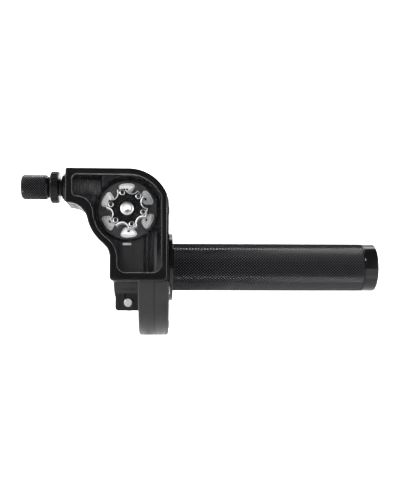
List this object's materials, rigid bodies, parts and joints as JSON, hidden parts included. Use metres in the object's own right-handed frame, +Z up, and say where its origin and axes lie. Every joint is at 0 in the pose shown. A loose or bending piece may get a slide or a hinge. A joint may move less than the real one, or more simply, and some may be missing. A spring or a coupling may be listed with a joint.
{
  "type": "throttle grip",
  "caption": "Quick-turn motorcycle throttle with knurled grip, bar clamp, cable drum, windowed guide wheel and screw cable adjuster.",
  "frame": {"origin": "centre of the handlebar clamp, on the bar's axis", "axes": "+X along the bar to the free end of the grip, -Y to the front with the window, +Z up to the guide wheel"},
  "size_m": [0.2046, 0.082, 0.0921],
  "materials": {
    "black_aluminium": "satin black anodised",
    "frame_gloss": "gloss black anodised",
    "star_face": "black anodised with bare chamfers",
    "grip_aluminium": "diamond-knurled black anodised",
    "tube_aluminium": "turned",
    "wheel_silver": "machined silver",
    "clear_window": "polished acrylic, smoke tint",
    "gasket_rubber": "matt",
    "steel": "stainless",
    "bearing_brass": "turned bronze",
    "washer_plastic": "natural nylon"
  },
  "bodies": {
    "housing": {"housing_body": "black_aluminium", "drum_cover": "black_aluminium", "cover_screws": "steel", "clamp_cap": "black_aluminium", "clamp_bolts": "steel", "clamp_washers": "steel", "left_bush": "bearing_brass", "right_bush": "bearing_brass", "left_thrust_washer": "washer_plastic", "right_thrust_washer": "washer_plastic", "stop_pin": "steel", "front_frame": "frame_gloss", "window": "clear_window", "window_gasket": "gasket_rubber", "frame_pins": "steel", "well_key": "steel", "bearing_inner": "steel", "wheel_axle": "steel", "front_axle_sleeve": "steel", "rear_axle_sleeve": "steel", "cable_boss": "black_aluminium"},
    "throttle": {"throttle_tube": "tube_aluminium", "tube_flange": "black_aluminium", "grip_sleeve": "grip_aluminium", "end_ring": "grip_aluminium", "end_ring_screws": "steel", "cable_drum": "black_aluminium", "drum_screws": "steel"},
    "wheel": {"guide_wheel": "wheel_silver", "wheel_face_ring": "star_face", "star_cap": "star_face", "star_screws": "steel", "bearing_outer": "steel"},
    "ball_cage": {"bearing_balls": "steel", "bearing_cage": "bearing_brass"},
    "seat": {"cable_seat": "washer_plastic"},
    "adjuster": {"adjuster_barrel": "black_aluminium"},
    "nut": {"lock_nut": "black_aluminium"}
  },
  "joints": [
    {"name": "throttle_twist", "type": "hinge", "parent": "housing", "child": "throttle", "pos_m": [0.02, 0, 0], "axis": [1, 0, 0], "range_deg": [0, 75]},
    {"name": "wheel_spin", "type": "hinge", "parent": "housing", "child": "wheel", "pos_m": [0.0011, -0.024, 0.03], "axis": [0, 1, 0], "range_deg": [0, 140]},
    {"name": "cage_spin", "type": "hinge", "parent": "housing", "child": "ball_cage", "pos_m": [0.0011, -0.024, 0.03], "axis": [0, 1, 0], "range_deg": [0, 95]},
    {"name": "adjuster_travel", "type": "slide", "parent": "housing", "child": "seat", "axis": [-1, 0, 0], "range_m": [0, 0.0051]},
    {"name": "adjuster_turn", "type": "hinge", "parent": "seat", "child": "adjuster", "pos_m": [-0.05, -0.024, 0.0432], "axis": [-1, 0, 0], "range_deg": [0, 1440]},
    {"name": "lock_nut_turn", "type": "hinge", "parent": "adjuster", "child": "nut", "pos_m": [-0.0394, -0.024, 0.0432], "axis": [-1, 0, 0], "range_deg": [0, 120]}
  ],
  "couplings": [
    {"joint": "wheel_spin", "follows": "throttle_twist", "ratio": 1.8182},
    {"joint": "cage_spin", "follows": "throttle_twist", "ratio": 1.1713},
    {"joint": "adjuster_travel", "follows": "adjuster_turn", "m_per_rad": 0.00019894}
  ]
}
